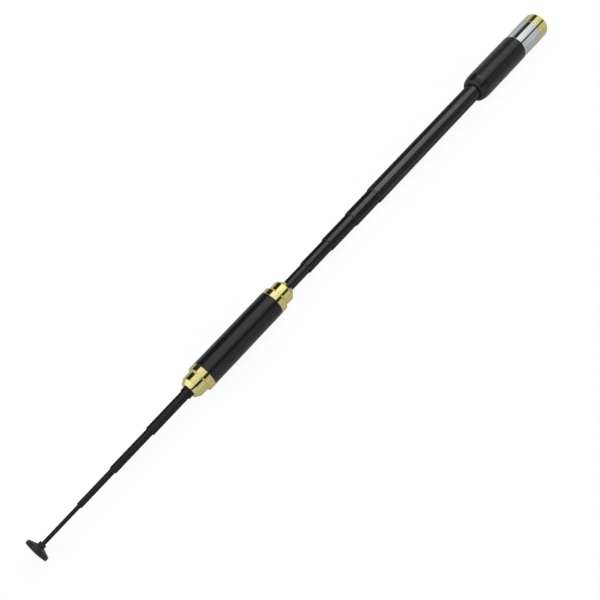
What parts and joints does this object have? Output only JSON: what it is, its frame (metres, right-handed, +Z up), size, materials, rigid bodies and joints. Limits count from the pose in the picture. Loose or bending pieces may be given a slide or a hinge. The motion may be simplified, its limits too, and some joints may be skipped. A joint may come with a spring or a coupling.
{
  "type": "telescopic handheld radio antenna",
  "caption": "Telescopic whip antenna with a threaded recessed connector, black grip, mid-length loading coil housing and a flat tip button.",
  "frame": {"origin": "centre of the connector's mouth, on the antenna's axis, in the collar's end face", "axes": "+X runs along the antenna from the connector to the tip button, +Z up with the antenna lying on its side"},
  "size_m": [0.4056, 0.0162, 0.0162],
  "materials": {
    "gold": "polished pale gold plating",
    "bright_metal": "polished nickel",
    "grip_black": "satin moulded black",
    "mast_black": "semi-gloss black",
    "whip_black": "satin black",
    "barrel_black": "semi-gloss black",
    "button_black": "matt moulded black",
    "connector_gold": "turned and plated",
    "spring_brass": "bright spring metal",
    "insulator_white": "smooth white",
    "former_grey": "plain moulded",
    "winding_copper": "enamelled wire"
  },
  "bodies": {
    "base": {"connector_body": "connector_gold", "connector_insulator": "insulator_white", "contact_pin": "connector_gold", "base_collar": "gold", "base_band": "bright_metal", "grip_sleeve": "grip_black", "base_bush": "former_grey", "coil_bobbin": "former_grey", "matching_coil": "winding_copper", "feed_stud": "spring_brass", "mast_root_plug": "spring_brass", "mast_tube_1": "mast_black"},
    "section_2": {"mast_tube_2": "mast_black", "mast_leaves_2": "spring_brass"},
    "section_3": {"mast_tube_3": "mast_black", "mast_leaves_3": "spring_brass"},
    "section_4": {"mast_tube_4": "mast_black", "mast_leaves_4": "spring_brass"},
    "coil_section": {"mast_tube_5": "mast_black", "mast_leaves_5": "spring_brass", "lower_cap": "gold", "upper_cap": "gold", "coil_barrel": "barrel_black", "coil_former": "former_grey", "loading_coil": "winding_copper", "whip_ferrule": "whip_black"},
    "upper_1": {"whip_tube_1": "whip_black", "whip_leaves_1": "spring_brass"},
    "upper_2": {"whip_tube_2": "whip_black", "whip_leaves_2": "spring_brass"},
    "upper_3": {"whip_tube_3": "whip_black", "whip_leaves_3": "spring_brass"},
    "tip": {"whip_rod": "whip_black", "whip_leaves_4": "spring_brass", "tip_button": "button_black"}
  },
  "joints": [
    {"name": "section_2_slide", "type": "slide", "parent": "base", "child": "section_2", "axis": [1, 0, 0], "range_m": [-0.01885, 0.07135]},
    {"name": "section_3_slide", "type": "slide", "parent": "section_2", "child": "section_3", "axis": [1, 0, 0], "range_m": [-0.01935, 0.07085]},
    {"name": "section_4_slide", "type": "slide", "parent": "section_3", "child": "section_4", "axis": [1, 0, 0], "range_m": [-0.0173, 0.0729]},
    {"name": "coil_section_slide", "type": "slide", "parent": "section_4", "child": "coil_section", "axis": [1, 0, 0], "range_m": [-0.0133, 0.0769]},
    {"name": "upper_1_slide", "type": "slide", "parent": "coil_section", "child": "upper_1", "axis": [1, 0, 0], "range_m": [-0.0233, 0.03636]},
    {"name": "upper_2_slide", "type": "slide", "parent": "upper_1", "child": "upper_2", "axis": [1, 0, 0], "range_m": [-0.0236, 0.03606]},
    {"name": "upper_3_slide", "type": "slide", "parent": "upper_2", "child": "upper_3", "axis": [1, 0, 0], "range_m": [-0.0206, 0.03906]},
    {"name": "tip_slide", "type": "slide", "parent": "upper_3", "child": "tip", "axis": [1, 0, 0], "range_m": [-0.0207, 0.03896]}
  ]
}
